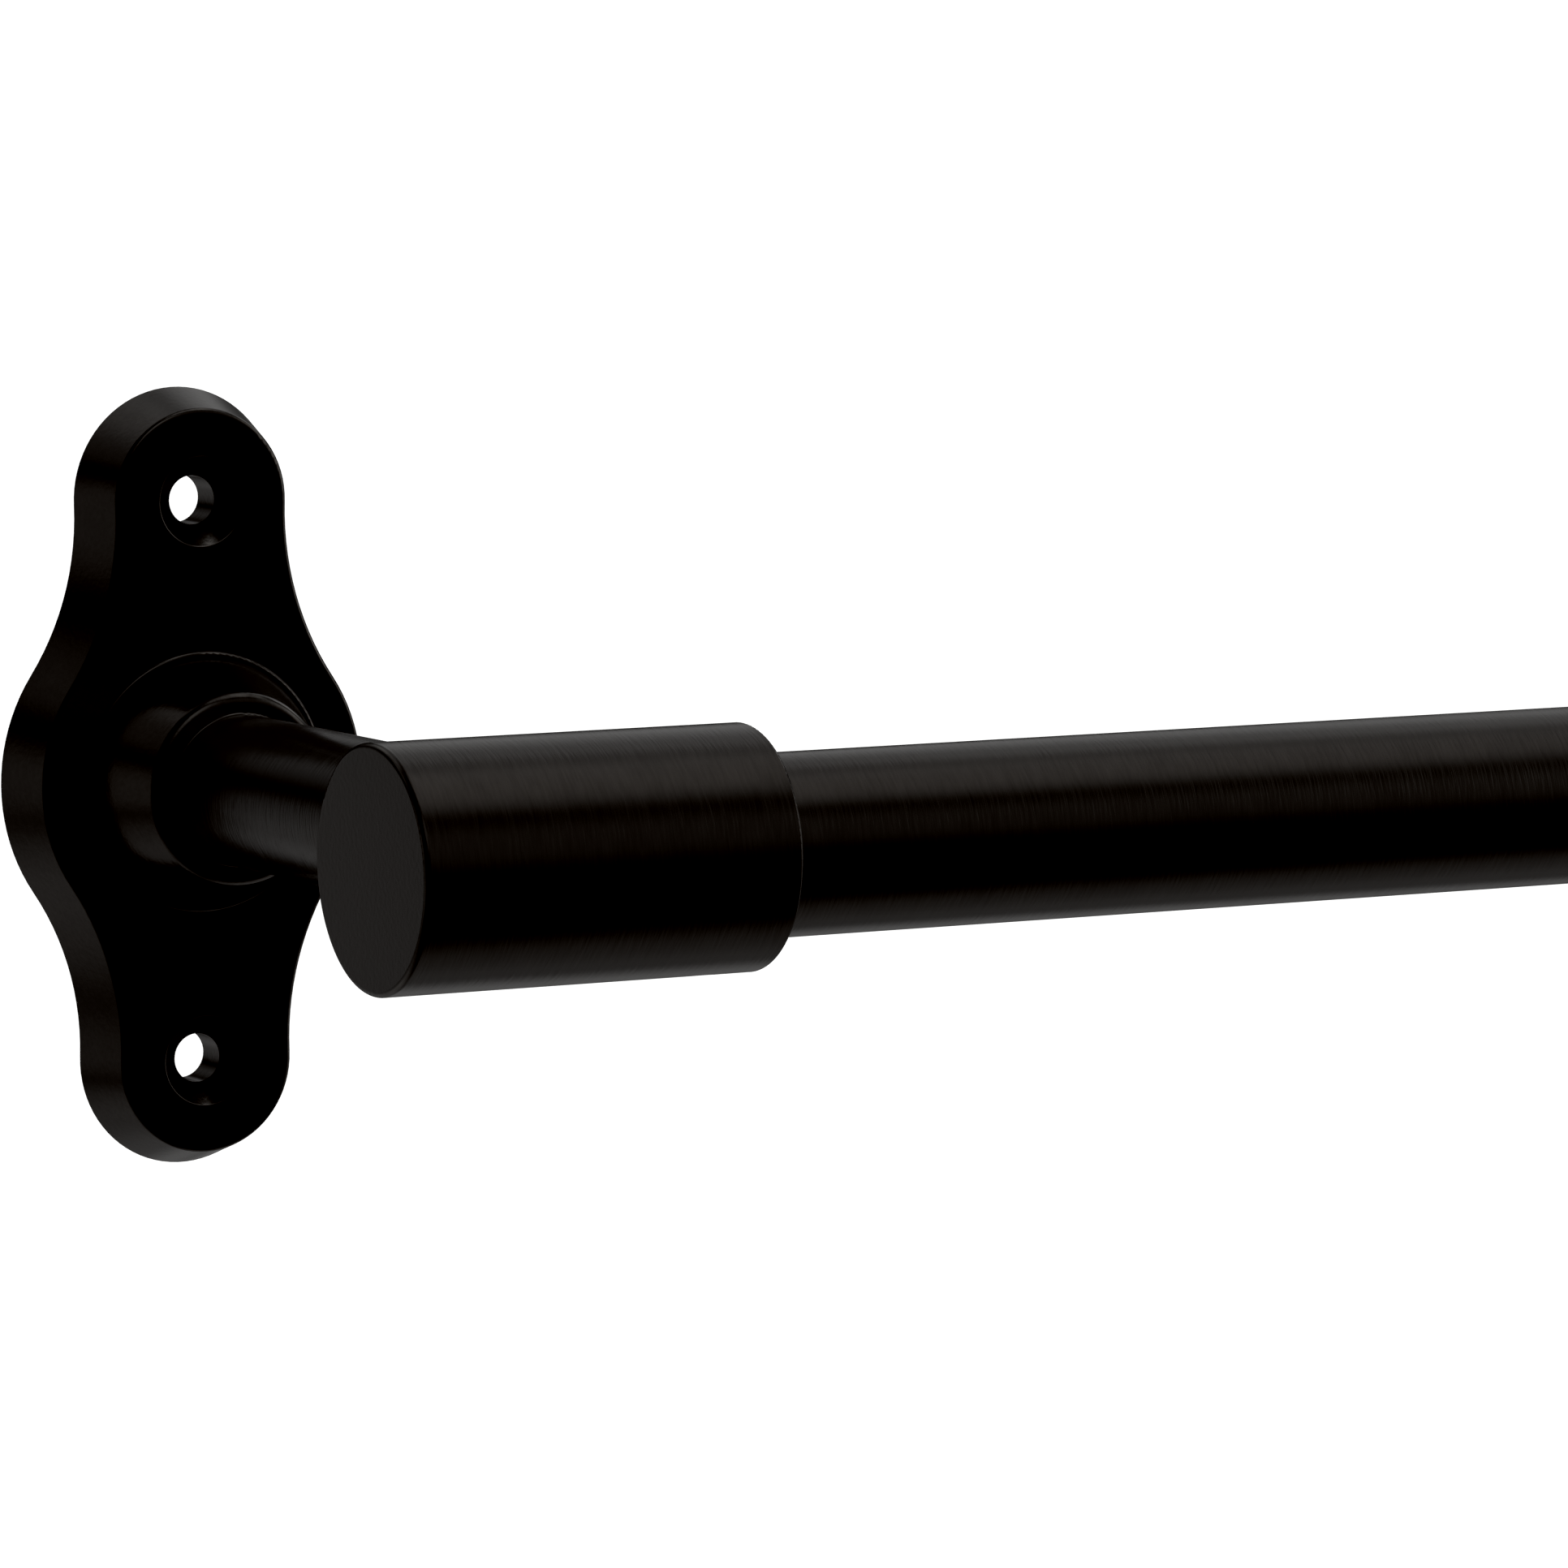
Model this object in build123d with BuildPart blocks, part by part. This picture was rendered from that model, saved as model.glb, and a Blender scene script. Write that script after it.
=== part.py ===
from build123d import *
import os
from math import atan2, degrees, sqrt

# Door guard bar: a round bar carried off a door by a screw-fixed bracket at each end.
# Row frame: origin on the wall face at the middle of the left bracket, +X along the bar,
# +Y into the wall, +Z up. "Height" below is the distance out from the wall, along -Y.

# ---- Driving dimensions, millimetres ----
bracket_spacing = 609.6
bar_standoff = 77.1

bar_radius = 15.875 / 2
bar_wall = 1.65
bar_end_chamfer = 0.5
bar_insertion = 10.0
bar_end_gap = 3.0

plate_thickness = 5.73
plate_draft = 1.74
plate_edge_round = 0.45
lobe_radius = 10.15
disc_radius = 17.65
waist_radius = 25.5
screw_spacing = 51.3
screw_hole_radius = 2.24
countersink_radius = 4.15
countersink_angle = 82.0
countersink_edge_round = 0.14

collar_height = 8.08
collar_radius = 8.6
collar_base_radius = 11.35
collar_foot_radius = 11.95
collar_foot_height = 0.35
collar_foot_round = 0.25
collar_rim_round = 0.9
collar_bore_radius = 4.55

post_radius = 6.86
post_foot_radius = 7.05
post_foot_height = 0.3
post_foot_round = 0.19
spigot_radius = 4.5
spigot_register = 1.2
register_clearance = 0.05
saddle_clearance = 0.02

socket_radius = 10.63
socket_half_length = 17.6
socket_end_round = 0.5
socket_mouth_round = 0.25
bore_clearance = 0.08
bore_chamfer = 0.4

screw_radius = 2.98
tapped_radius = 3.0
screw_clearance_radius = 3.2
post_screw_length = 13.0
post_screw_head_radius = 5.88
post_screw_head_angle = 90.0
post_screw_recess = 0.3
post_screw_key = 4.0
post_screw_key_depth = 1.9
post_screw_hole_radius = 6.2
post_tap_depth = 11.0

stud_in_post = 8.0
stud_in_socket = 8.5
stud_hole_spare = 1.0
stud_chamfer = 0.4

set_screw_radius = 1.95
set_screw_hole_radius = 2.0
set_screw_length = 2.5
set_screw_tip_gap = 0.04
set_screw_from_mouth = 5.0
set_screw_key = 2.0
set_screw_key_depth = 1.4
set_screw_chamfer = 0.3

# ---- Derived dimensions ----
screw_offset = screw_spacing / 2
draft_angle = degrees(atan2(plate_draft, plate_thickness))
collar_top = plate_thickness + collar_height
bore_radius = bar_radius + bore_clearance
bore_bottom = socket_half_length - bar_insertion - bar_end_gap
bar_end = socket_half_length - bar_insertion
set_screw_place = socket_half_length - set_screw_from_mouth
set_screw_tip = bar_radius + set_screw_tip_gap
socket_back = bar_standoff - socket_radius

os.makedirs("parts", exist_ok=True)


def wall_plane(x, height=0.0):
    """A plane parallel to the wall: local x is +X, local y is +Z, and the normal leaves the wall."""
    return Plane(origin=(x, -height, 0), x_dir=(1, 0, 0), z_dir=(0, -1, 0))


def bar_plane(x, direction):
    """A plane across the bar at x, its normal along the bar in the given direction."""
    return Plane(origin=(x, -bar_standoff, 0), x_dir=(0, -1, 0), z_dir=(direction, 0, 0))


def underside_plane(x, depth):
    """A level plane under the bar, its normal pointing down, at a depth below the bar's axis."""
    return Plane(origin=(x, -bar_standoff, -depth), x_dir=(1, 0, 0), z_dir=(0, 0, -1))


def save(solid, name):
    solid.label = name
    export_step(solid, "parts/" + name + ".step")


def make_wall_plate(name, x):
    # Each waist arc touches a lobe and the middle disc, so the radii fix its centre.
    waist_z = (disc_radius + waist_radius) ** 2 - (lobe_radius + waist_radius) ** 2 + screw_offset**2
    waist_z /= 2 * screw_offset
    waist_x = sqrt((disc_radius + waist_radius) ** 2 - waist_z**2)
    disc_angle = degrees(atan2(waist_z, waist_x))
    lobe_angle = degrees(atan2(waist_z - screw_offset, waist_x))
    with BuildPart() as wall_plate:
        with BuildSketch(wall_plane(x)):
            with BuildLine():
                CenterArc((0, screw_offset), lobe_radius, lobe_angle, 90 - lobe_angle)
                CenterArc((waist_x, waist_z), waist_radius, 180 + lobe_angle, disc_angle - lobe_angle)
                CenterArc((0, 0), disc_radius, 0, disc_angle)
                mirror(about=Plane.XZ)
                mirror(about=Plane.YZ)
            make_face()
        extrude(amount=plate_thickness, taper=draft_angle)
        front_face = wall_plate.faces().sort_by(Axis.Y)[0]
        fillet(front_face.edges(), radius=plate_edge_round)
        with BuildSketch(wall_plane(x, plate_thickness)):
            Circle(spigot_radius + register_clearance)
        extrude(amount=-spigot_register, mode=Mode.SUBTRACT)
        with Locations(wall_plane(x).rotated((0, 180, 0))):
            CounterSinkHole(screw_clearance_radius, post_screw_hole_radius, depth=plate_thickness,
                            counter_sink_angle=post_screw_head_angle)
        with Locations(wall_plane(x, plate_thickness)):
            with Locations((0, screw_offset), (0, -screw_offset)):
                CounterSinkHole(screw_hole_radius, countersink_radius, depth=plate_thickness,
                                counter_sink_angle=countersink_angle)
        rims = wall_plate.faces().sort_by(Axis.Y)[0].edges().filter_by(
            lambda edge: edge.geom_type == GeomType.CIRCLE and abs(edge.radius - countersink_radius) < 0.01)
        fillet(rims, radius=countersink_edge_round)
    save(wall_plate.part, name)


def make_collar(name, x):
    # Half section: radius out from the axis, height out from the plate's front.
    foot_corner = (collar_foot_radius, collar_foot_height - collar_foot_round)
    foot_top = (collar_foot_radius - collar_foot_round, collar_foot_height)
    with BuildPart() as collar:
        with BuildSketch(Plane(origin=(x, -plate_thickness, 0), x_dir=(1, 0, 0), z_dir=(0, 0, -1))):
            with BuildLine():
                Polyline(foot_top, (collar_base_radius, collar_foot_height), (collar_radius, collar_height),
                         (collar_bore_radius, collar_height), (collar_bore_radius, 0),
                         (collar_foot_radius, 0), foot_corner)
                RadiusArc(foot_corner, foot_top, -collar_foot_round)
            make_face()
        revolve(axis=Axis((x, 0, 0), (0, 1, 0)))
        rim = collar.edges().filter_by(GeomType.CIRCLE).group_by(Axis.Y)[0].sort_by(SortBy.RADIUS)[-1]
        fillet(rim, radius=collar_rim_round)
    save(collar.part, name)


def make_post(name, x):
    spigot_end = plate_thickness - spigot_register
    with BuildPart() as post:
        with BuildSketch(wall_plane(x, collar_top)):
            Circle(post_foot_radius)
        extrude(amount=post_foot_height)
        fillet(post.edges().sort_by(Axis.Y)[0], radius=post_foot_round)
        with BuildSketch(wall_plane(x, collar_top)):
            Circle(post_radius)
        extrude(amount=bar_standoff - collar_top)
        with BuildSketch(wall_plane(x, spigot_end)):
            Circle(spigot_radius)
        extrude(amount=collar_top - spigot_end)
        with BuildSketch(bar_plane(x, 1)):
            Circle(socket_radius + saddle_clearance)
        extrude(amount=socket_half_length, both=True, mode=Mode.SUBTRACT)
        with BuildSketch(wall_plane(x, spigot_end)):
            Circle(tapped_radius)
        extrude(amount=post_tap_depth, mode=Mode.SUBTRACT)
        with BuildSketch(wall_plane(x, socket_back - stud_in_post - stud_hole_spare)):
            Circle(tapped_radius)
        extrude(amount=stud_in_post + stud_hole_spare + post_radius, mode=Mode.SUBTRACT)
    save(post.part, name)


def make_post_screw(name, x):
    head_height = post_screw_head_radius - screw_radius
    with BuildPart() as post_screw:
        with BuildSketch(wall_plane(x, post_screw_recess)):
            Circle(post_screw_head_radius)
        with BuildSketch(wall_plane(x, post_screw_recess + head_height)):
            Circle(screw_radius)
        loft()
        with BuildSketch(wall_plane(x, post_screw_recess + head_height)):
            Circle(screw_radius)
        extrude(amount=post_screw_length - head_height)
        with BuildSketch(wall_plane(x, post_screw_recess)):
            RegularPolygon(post_screw_key / 2, 6, major_radius=False)
        extrude(amount=post_screw_key_depth, mode=Mode.SUBTRACT)
    save(post_screw.part, name)


def make_socket(name, x, inward):
    mouth = x + inward * socket_half_length
    closed_end = x - inward * socket_half_length
    with BuildPart() as socket:
        with BuildSketch(bar_plane(closed_end, inward)):
            Circle(socket_radius)
        extrude(amount=2 * socket_half_length)
        end_edges = socket.edges().filter_by(GeomType.CIRCLE).sort_by(Axis.X, reverse=inward < 0)
        fillet(end_edges[0], radius=socket_end_round)
        end_edges = socket.edges().filter_by(GeomType.CIRCLE).sort_by(Axis.X, reverse=inward < 0)
        fillet(end_edges[-1], radius=socket_mouth_round)
        with BuildSketch(bar_plane(mouth, -inward)):
            Circle(bore_radius)
        extrude(amount=socket_half_length - bore_bottom, mode=Mode.SUBTRACT)
        mouth_face = socket.faces().filter_by(Axis.X).sort_by(Axis.X, reverse=inward < 0)[-1]
        chamfer(mouth_face.inner_wires().edges(), length=bore_chamfer)
        with BuildSketch(wall_plane(x, socket_back)):
            Circle(tapped_radius)
        extrude(amount=stud_in_socket + stud_hole_spare, mode=Mode.SUBTRACT)
        with BuildSketch(underside_plane(x + inward * set_screw_place, bar_radius)):
            Circle(set_screw_hole_radius)
        extrude(amount=socket_radius, mode=Mode.SUBTRACT)
    save(socket.part, name)


def make_socket_stud(name, x):
    with BuildPart() as socket_stud:
        with BuildSketch(wall_plane(x, socket_back - stud_in_post)):
            Circle(screw_radius)
        extrude(amount=stud_in_post + stud_in_socket)
        chamfer(socket_stud.edges().filter_by(GeomType.CIRCLE), length=stud_chamfer)
    save(socket_stud.part, name)


def make_set_screw(name, x):
    with BuildPart() as set_screw:
        with BuildSketch(underside_plane(x, set_screw_tip)):
            Circle(set_screw_radius)
        extrude(amount=set_screw_length)
        chamfer(set_screw.edges().filter_by(GeomType.CIRCLE), length=set_screw_chamfer)
        with BuildSketch(underside_plane(x, set_screw_tip + set_screw_length)):
            RegularPolygon(set_screw_key / 2, 6, major_radius=False)
        extrude(amount=-set_screw_key_depth, mode=Mode.SUBTRACT)
    save(set_screw.part, name)


with BuildPart() as bar_tube:
    with BuildSketch(bar_plane(bar_end, 1)):
        Circle(bar_radius)
        Circle(bar_radius - bar_wall, mode=Mode.SUBTRACT)
    extrude(amount=bracket_spacing - 2 * bar_end)
    outer_edges = bar_tube.edges().filter_by(lambda edge: edge.geom_type == GeomType.CIRCLE
                                             and edge.radius > bar_radius - bar_wall / 2)
    chamfer(outer_edges, length=bar_end_chamfer)
save(bar_tube.part, "bar_tube")

for side, middle, inward in (("left", 0.0, 1), ("right", bracket_spacing, -1)):
    make_wall_plate(side + "_wall_plate", middle)
    make_collar(side + "_collar", middle)
    make_post(side + "_post", middle)
    make_post_screw(side + "_post_screw", middle)
    make_socket(side + "_socket", middle, inward)
    make_socket_stud(side + "_socket_stud", middle)
    make_set_screw(side + "_set_screw", middle + inward * set_screw_place)
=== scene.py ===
from math import cos, pi, radians, sin

import bmesh
import bpy
from mathutils import Matrix, Vector


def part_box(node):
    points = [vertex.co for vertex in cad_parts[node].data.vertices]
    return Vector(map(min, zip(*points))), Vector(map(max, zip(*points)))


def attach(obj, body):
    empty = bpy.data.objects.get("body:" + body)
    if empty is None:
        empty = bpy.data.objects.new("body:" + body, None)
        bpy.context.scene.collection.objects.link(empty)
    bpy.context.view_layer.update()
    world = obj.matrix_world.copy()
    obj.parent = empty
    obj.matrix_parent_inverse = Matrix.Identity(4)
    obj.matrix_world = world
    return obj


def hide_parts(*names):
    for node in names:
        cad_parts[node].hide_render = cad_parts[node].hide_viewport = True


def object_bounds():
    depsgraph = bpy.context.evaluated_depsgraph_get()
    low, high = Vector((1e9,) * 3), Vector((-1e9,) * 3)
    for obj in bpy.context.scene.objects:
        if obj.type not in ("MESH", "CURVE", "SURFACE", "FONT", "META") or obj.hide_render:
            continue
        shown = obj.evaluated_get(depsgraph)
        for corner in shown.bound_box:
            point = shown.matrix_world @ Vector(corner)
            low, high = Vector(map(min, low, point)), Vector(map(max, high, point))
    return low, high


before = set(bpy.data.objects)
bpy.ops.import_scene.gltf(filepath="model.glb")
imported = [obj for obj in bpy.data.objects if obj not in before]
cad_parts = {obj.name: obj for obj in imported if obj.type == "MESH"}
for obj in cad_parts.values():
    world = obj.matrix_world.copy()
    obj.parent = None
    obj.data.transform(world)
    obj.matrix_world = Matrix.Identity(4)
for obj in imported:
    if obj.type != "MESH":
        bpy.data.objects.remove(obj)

CAD_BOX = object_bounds()
SIDES = ("left", "right")

# ---- Where things are, all read from the frame ----
PLATE_LOW, PLATE_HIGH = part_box("left_wall_plate")
PLATE_MIDDLE = (PLATE_LOW + PLATE_HIGH) / 2
BAR_LOW, BAR_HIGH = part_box("bar_tube")
BAR_RADIUS = (BAR_HIGH.z - BAR_LOW.z) / 2
BAR_MIDDLE = (BAR_LOW + BAR_HIGH) / 2


# ---- Camera: lens and sensor in millimetres, distances in metres ----
CAMERA_AZIMUTH = radians(-28.48)
CAMERA_ELEVATION = radians(6.00)
CAMERA_ROLL = radians(-0.142)
CAMERA_DISTANCE = 0.8088
CAMERA_LENS = 194.55
CAMERA_SENSOR = 36
CAMERA_CLIP = (0.01, 100)
AIM_FROM_PLATE = Vector((0.0633, 0, -0.00404))


def make_camera():
    """A long lens a little above the bar and to its left, aimed at the wall beside the left bracket."""
    data = bpy.data.cameras.new("camera")
    data.sensor_width = CAMERA_SENSOR
    data.lens = CAMERA_LENS
    data.clip_start, data.clip_end = CAMERA_CLIP
    camera = bpy.data.objects.new("camera", data)
    bpy.context.scene.collection.objects.link(camera)
    bpy.context.scene.camera = camera
    flat = cos(CAMERA_ELEVATION)
    back = Vector((sin(CAMERA_AZIMUTH) * flat, -cos(CAMERA_AZIMUTH) * flat, sin(CAMERA_ELEVATION)))
    right = (-back).cross(Vector((0, 0, 1))).normalized()
    up = right.cross(-back)
    rolled_right = right * cos(CAMERA_ROLL) + up * sin(CAMERA_ROLL)
    rolled_up = up * cos(CAMERA_ROLL) - right * sin(CAMERA_ROLL)
    aim = Vector((PLATE_MIDDLE.x, PLATE_HIGH.y, PLATE_MIDDLE.z)) + AIM_FROM_PLATE
    turn = Matrix((rolled_right, rolled_up, back)).transposed().to_4x4()
    camera.matrix_world = Matrix.Translation(aim + back * CAMERA_DISTANCE) @ turn


make_camera()


# ---- Materials ----
# Sizes of grain and streaks, as cycles to the metre.
FINE_GRAIN = 2200
BLOTCHES = 320
STREAK_WIDTH = 3200
STREAK_LENGTH = 320
GRAIN_DETAIL = 2.0
BROAD_DETAIL = 3.0
# The part of the noise that is spread out to run from 0 to 1.
NOISE_LOW, NOISE_HIGH = 0.3, 0.7
# How much of the pattern is fine grain, the rest being blotches, and how strongly the rounded edges are
# lightened as a painted highlight.
FINE_SHARE = 0.6
MOST_PAINTED_HIGHLIGHT = 0.6
ROUGHNESS_SPREAD = 0.15
COAT_ROUGHNESS = 0.15
# Bump strengths, and the height they stand for, in metres.
CAST_RELIEF = 0.15
TURNED_RELIEF = 0.35
END_RELIEF = 0.12
RELIEF_HEIGHT = 0.00003
# Curves over how squarely the surface faces along the axis: 0 on a side, 1 on a flat end.
FLAT_END = ((0.0, 0.0), (0.5, 0.0), (0.9, 1.0), (1.0, 1.0))
# The next curve picks the rounded edges between side and end, which get a lighter colour as a painted
# highlight.
PAINTED_HIGHLIGHT_EDGE = ((0.42, 0.0), (0.62, 1.0), (0.85, 1.0), (0.98, 0.0))
RELIEF_TO_END = ((0.0, TURNED_RELIEF), (0.5, TURNED_RELIEF), (0.9, END_RELIEF), (1.0, END_RELIEF))


def node_material(name):
    material = bpy.data.materials.new(name)
    material.use_nodes = True
    tree = material.node_tree
    return material, tree.nodes, tree.links, tree.nodes["Principled BSDF"]


def math_node(nodes, links, operation, *values):
    node = nodes.new("ShaderNodeMath")
    node.operation = operation
    for place, value in enumerate(values):
        if isinstance(value, (int, float)):
            node.inputs[place].default_value = value
        else:
            links.new(value, node.inputs[place])
    return node.outputs[0]


def noise(nodes, links, place, scale, detail):
    """Noise over the object's own coordinates, from 0 to 1, with a scale of its own along each axis."""
    mapping = nodes.new("ShaderNodeMapping")
    mapping.inputs["Scale"].default_value = scale
    links.new(place.outputs["Object"], mapping.inputs["Vector"])
    texture = nodes.new("ShaderNodeTexNoise")
    texture.inputs["Scale"].default_value = 1.0
    texture.inputs["Detail"].default_value = detail
    links.new(mapping.outputs["Vector"], texture.inputs["Vector"])
    spread = nodes.new("ShaderNodeMapRange")
    spread.inputs["From Min"].default_value = NOISE_LOW
    spread.inputs["From Max"].default_value = NOISE_HIGH
    links.new(texture.outputs["Fac"], spread.inputs["Value"])
    return spread.outputs["Result"]


def along(nodes, links, place, axis):
    """How squarely the surface faces along an axis, from 0 to 1."""
    dot = nodes.new("ShaderNodeVectorMath")
    dot.operation = "DOT_PRODUCT"
    dot.inputs[1].default_value = axis
    links.new(place.outputs["Normal"], dot.inputs[0])
    return math_node(nodes, links, "ABSOLUTE", dot.outputs["Value"])


def ramp(nodes, links, value, *stops):
    """A curve through (position, height) stops."""
    node = nodes.new("ShaderNodeValToRGB")
    while len(node.color_ramp.elements) < len(stops):
        node.color_ramp.elements.new(1.0)
    for element, (position, height) in zip(node.color_ramp.elements, stops):
        element.position = position
        element.color = (height, height, height, 1)
    links.new(value, node.inputs[0])
    return node.outputs["Color"]


def mix_colour(nodes, links, share, first, second):
    node = nodes.new("ShaderNodeMix")
    node.data_type = "RGBA"
    links.new(share, node.inputs[0])
    for socket, value in ((node.inputs[6], first), (node.inputs[7], second)):
        if isinstance(value, tuple):
            socket.default_value = (*value, 1)
        else:
            links.new(value, socket)
    return node.outputs[2]


def finish_metal(name, axis, turned, dark, light, painted_edge_highlight, roughness, coat):
    """Dark lacquered metal. Where it is turned, streaks go round the axis and its flat ends are grained.
    Anything else is grained all over. The rounded edges, found by how squarely they face along the axis,
    are lightened in blotches as a painted highlight."""
    material, nodes, links, shader = node_material(name)
    place = nodes.new("ShaderNodeTexCoord")
    facing = along(nodes, links, place, axis)
    grain = noise(nodes, links, place, (FINE_GRAIN,) * 3, GRAIN_DETAIL)
    blotch = noise(nodes, links, place, (BLOTCHES,) * 3, BROAD_DETAIL)
    fine = grain
    if turned:
        scale = tuple(STREAK_WIDTH if part else STREAK_LENGTH for part in axis)
        streak = noise(nodes, links, place, scale, BROAD_DETAIL)
        flat_end = ramp(nodes, links, facing, *FLAT_END)
        fine = mix_colour(nodes, links, flat_end, streak, grain)
    faint_blotch = math_node(nodes, links, "MULTIPLY", blotch, 1 - FINE_SHARE)
    pattern = math_node(nodes, links, "MULTIPLY_ADD", fine, FINE_SHARE, faint_blotch)
    colour = mix_colour(nodes, links, pattern, dark, light)
    # Rounded edges are lightened in blotchy patches: a painted highlight.
    edge = ramp(nodes, links, facing, *PAINTED_HIGHLIGHT_EDGE)
    patchy = math_node(nodes, links, "MULTIPLY", blotch, MOST_PAINTED_HIGHLIGHT)
    painted_highlight = math_node(nodes, links, "MULTIPLY", edge, patchy)
    colour = mix_colour(nodes, links, painted_highlight, colour, painted_edge_highlight)
    links.new(colour, shader.inputs["Base Color"])
    spread = nodes.new("ShaderNodeMapRange")
    spread.inputs["To Min"].default_value = roughness * (1 - ROUGHNESS_SPREAD)
    spread.inputs["To Max"].default_value = roughness * (1 + ROUGHNESS_SPREAD)
    links.new(pattern, spread.inputs["Value"])
    links.new(spread.outputs["Result"], shader.inputs["Roughness"])
    bump = nodes.new("ShaderNodeBump")
    bump.inputs["Strength"].default_value = CAST_RELIEF
    if turned:
        relief = ramp(nodes, links, facing, *RELIEF_TO_END)
        links.new(relief, bump.inputs["Strength"])
    bump.inputs["Distance"].default_value = RELIEF_HEIGHT
    links.new(fine, bump.inputs["Height"])
    links.new(bump.outputs["Normal"], shader.inputs["Normal"])
    links.new(bump.outputs["Normal"], shader.inputs["Coat Normal"])
    shader.inputs["Metallic"].default_value = 1.0
    shader.inputs["Coat Weight"].default_value = coat
    shader.inputs["Coat Roughness"].default_value = COAT_ROUGHNESS
    return material


ALONG_BAR = (1, 0, 0)
OUT_FROM_WALL = (0, 1, 0)
# Each finish's edge colour lightens its rounded edges: a painted highlight.
BRONZE = {"dark": (0.0098, 0.0081, 0.0067), "light": (0.0215, 0.0187, 0.0163),
          "painted_edge_highlight": (0.130, 0.124, 0.115), "roughness": 0.21, "coat": 0.18}
CAST = {**BRONZE, "roughness": 0.16}
STEEL = {"dark": (0.030, 0.030, 0.032), "light": (0.055, 0.054, 0.055), "painted_edge_highlight": (0.12, 0.12, 0.12),
         "roughness": 0.38, "coat": 0.0}
CAST_BRONZE = finish_metal("cast_bronze", OUT_FROM_WALL, False, **CAST)
TURNED_POST = finish_metal("turned_post", OUT_FROM_WALL, True, **BRONZE)
TURNED_BRONZE = finish_metal("turned_bronze", ALONG_BAR, True, **BRONZE)
BLACK_OXIDE = finish_metal("black_oxide", OUT_FROM_WALL, True, **STEEL)


def dress(node, material):
    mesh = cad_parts[node].data
    mesh.materials.clear()
    mesh.materials.append(material)


for side in SIDES:
    dress(side + "_wall_plate", CAST_BRONZE)
    dress(side + "_collar", CAST_BRONZE)
    dress(side + "_post", TURNED_POST)
    dress(side + "_socket", TURNED_BRONZE)
    for screw in ("post_screw", "socket_stud", "set_screw"):
        dress(side + "_" + screw, BLACK_OXIDE)


# ---- The bar, turned more finely than its CAD node ----
BAR_WALL = 0.00165
BAR_CHAMFER = 0.0005
BAR_SEGMENTS = 128
SHARP_ANGLE = radians(20)


def lathe(name, outline, segments):
    """A closed ring of (x, radius) points turned round the bar's axis."""
    mesh = bpy.data.meshes.new(name)
    shape = bmesh.new()
    rings = []
    for step in range(segments):
        angle = 2 * pi * step / segments
        across, up = cos(angle), sin(angle)
        rings.append([shape.verts.new((x, BAR_MIDDLE.y + radius * across, BAR_MIDDLE.z + radius * up))
                      for x, radius in outline])
    for step, ring in enumerate(rings):
        after = rings[(step + 1) % segments]
        for place in range(len(outline)):
            beyond = (place + 1) % len(outline)
            shape.faces.new((ring[place], ring[beyond], after[beyond], after[place])).smooth = True
    bmesh.ops.recalc_face_normals(shape, faces=shape.faces)
    for edge in shape.edges:
        edge.smooth = edge.calc_face_angle() < SHARP_ANGLE
    shape.to_mesh(mesh)
    shape.free()
    piece = bpy.data.objects.new(name, mesh)
    bpy.context.scene.collection.objects.link(piece)
    return piece


def make_bar():
    bore = BAR_RADIUS - BAR_WALL
    rim = BAR_RADIUS - BAR_CHAMFER
    low, high = BAR_LOW.x, BAR_HIGH.x
    outline = [(low, bore), (low, rim), (low + BAR_CHAMFER, BAR_RADIUS),
               (high - BAR_CHAMFER, BAR_RADIUS), (high, rim), (high, bore)]
    bar = lathe("round_bar", outline, BAR_SEGMENTS)
    bar.data.materials.append(TURNED_BRONZE)
    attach(bar, "bar")
    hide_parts("bar_tube")


make_bar()


# ---- Floor and studio light ----
FLOOR_DROP = 0.25
FLOOR_SIZE = 60.0
FLOOR_COLOUR = (0.93, 0.93, 0.92, 1)
FLOOR_ROUGHNESS = 0.9
FLOOR_GLOW = 1.0
BACKDROP_COLOUR = (1, 1, 1, 1)

# Each soft light: azimuth and elevation of its middle and its half width, in degrees, then its strength.
# Azimuth is counted from straight behind the bar, towards the right. Fourteen of the lights descend
# from a fit to the reflections in the photo.
SOFT_LIGHTS = (
    (115, 65, 18, 1.0),
    (115, 20, 18, 1.0),
    (70, 30, 10, 1.1),
    (60, 56, 13, 0.42),
    (40, 35, 17, 0.42),
    (26, 18, 7, 0.18),
    (42, 8, 9, 0.12),
    (-15, 50, 20, 0.48),
    (-16, 24, 8, 0.06),
    (-55, 35, 10, 0.15),
    (-65, -3, 14, 0.27),
    (-20, -5, 10, 0.16),
    (-15, -24, 9, 0.06),
    (-25, -45, 30, 0.22),
    (-50, -38, 14, 0.08),
    (28, -10, 10, 0.18),
    (34, -36, 13, 0.22),
    (80, -60, 20, 0.24),
    (75, -6, 15, 0.35),
    (112, 0, 18, 0.65),
    (150, 20, 15, 0.18),
    (180, 36, 14, 0.50),
)
LIGHTS_LEVEL = 1.05
LEFT_AT_HALF_WIDTH = 0.5
BLACK_LEVEL = (0.0008, 0.0018, 0.0024)


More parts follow.
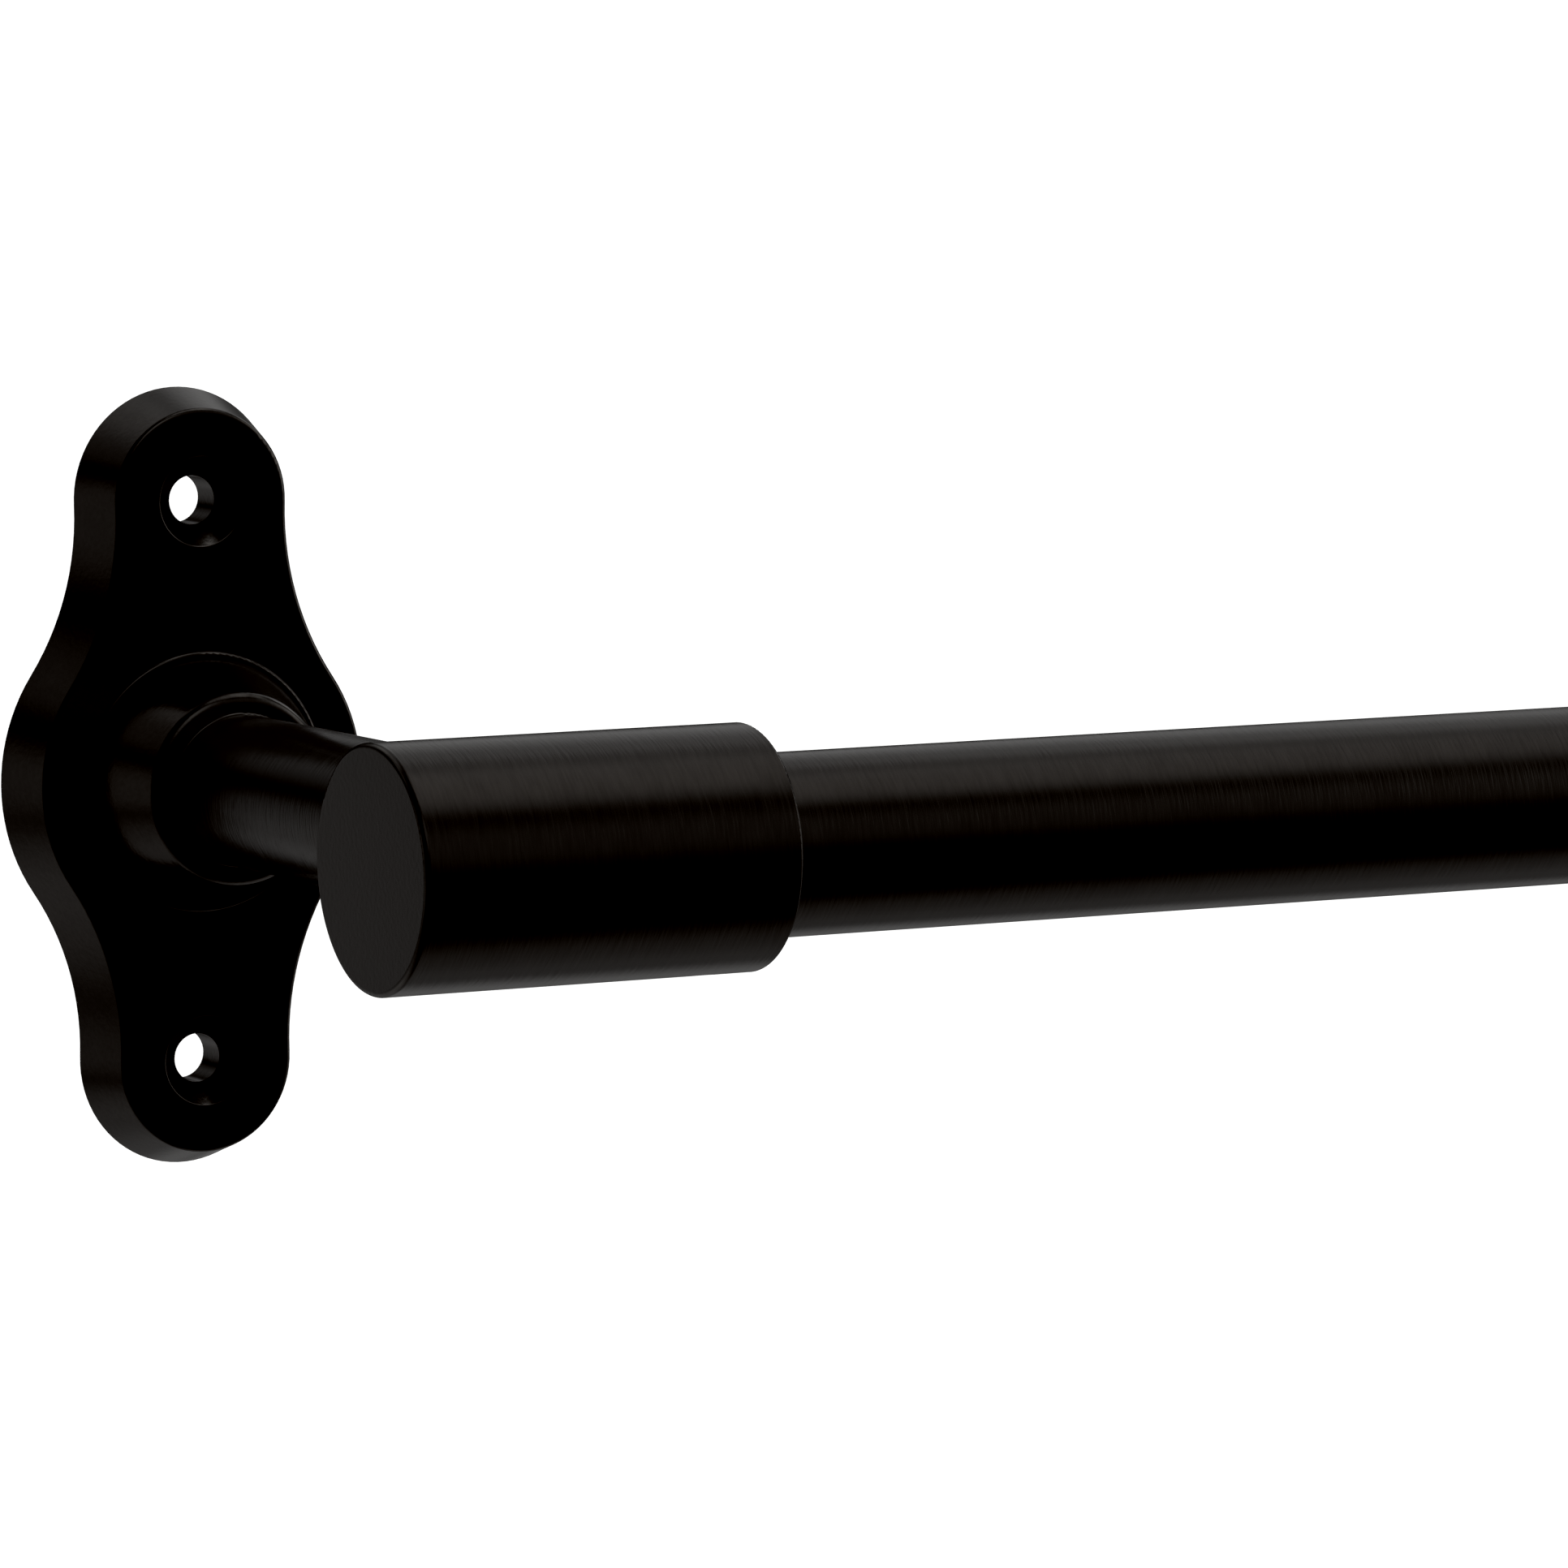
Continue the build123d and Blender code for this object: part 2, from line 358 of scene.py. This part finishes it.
def make_floor():
    mesh = bpy.data.meshes.new("floor")
    half = FLOOR_SIZE / 2
    z = CAD_BOX[0].z - FLOOR_DROP
    corners = [(-half, -half, z), (half, -half, z), (half, half, z), (-half, half, z)]
    mesh.from_pydata(corners, [], [(0, 1, 2, 3)])
    floor = bpy.data.objects.new("floor", mesh)
    bpy.context.scene.collection.objects.link(floor)
    material, nodes, links, shader = node_material("floor")
    shader.inputs["Base Color"].default_value = FLOOR_COLOUR
    shader.inputs["Roughness"].default_value = FLOOR_ROUGHNESS
    shader.inputs["Emission Color"].default_value = FLOOR_COLOUR
    shader.inputs["Emission Strength"].default_value = FLOOR_GLOW
    mesh.materials.append(material)
    floor.visible_glossy = False
    floor.visible_diffuse = False


def make_world():
    """A white backdrop, and flat-topped soft lights above, behind, beside and below, with few in front."""
    world = bpy.data.worlds.new("studio")
    bpy.context.scene.world = world
    world.use_nodes = True
    nodes, links = world.node_tree.nodes, world.node_tree.links
    place = nodes.new("ShaderNodeTexCoord")
    total = 0.0
    for azimuth, elevation, width, strength in SOFT_LIGHTS:
        a, e = radians(azimuth), radians(elevation)
        dot = nodes.new("ShaderNodeVectorMath")
        dot.operation = "DOT_PRODUCT"
        dot.inputs[1].default_value = (sin(a) * cos(e), cos(a) * cos(e), sin(e))
        links.new(place.outputs["Generated"], dot.inputs[0])
        steep = 1 / (1 - cos(radians(width)))
        away = math_node(nodes, links, "MULTIPLY_ADD", dot.outputs["Value"], -steep, steep)
        squared = math_node(nodes, links, "MULTIPLY", away, away)
        fall = math_node(nodes, links, "POWER", LEFT_AT_HALF_WIDTH, squared)
        total = math_node(nodes, links, "MULTIPLY_ADD", fall, strength * LIGHTS_LEVEL, total)
    studio = nodes["Background"]
    studio.inputs["Color"].default_value = BACKDROP_COLOUR
    links.new(total, studio.inputs["Strength"])
    backdrop = nodes.new("ShaderNodeBackground")
    backdrop.inputs["Color"].default_value = BACKDROP_COLOUR
    seen = nodes.new("ShaderNodeLightPath")
    pick = nodes.new("ShaderNodeMixShader")
    links.new(seen.outputs["Is Camera Ray"], pick.inputs[0])
    links.new(studio.outputs[0], pick.inputs[1])
    links.new(backdrop.outputs[0], pick.inputs[2])
    links.new(pick.outputs[0], nodes["World Output"].inputs["Surface"])


make_floor()
make_world()


def set_contrast():
    """The plain view transform, with the faintest reflections taken down to black. Green and blue are
    taken down further than red, which browns the darks."""
    view = bpy.context.scene.view_settings
    view.view_transform = "Standard"
    view.use_curve_mapping = True
    view.curve_mapping.black_level = BLACK_LEVEL
    view.curve_mapping.update()


set_contrast()
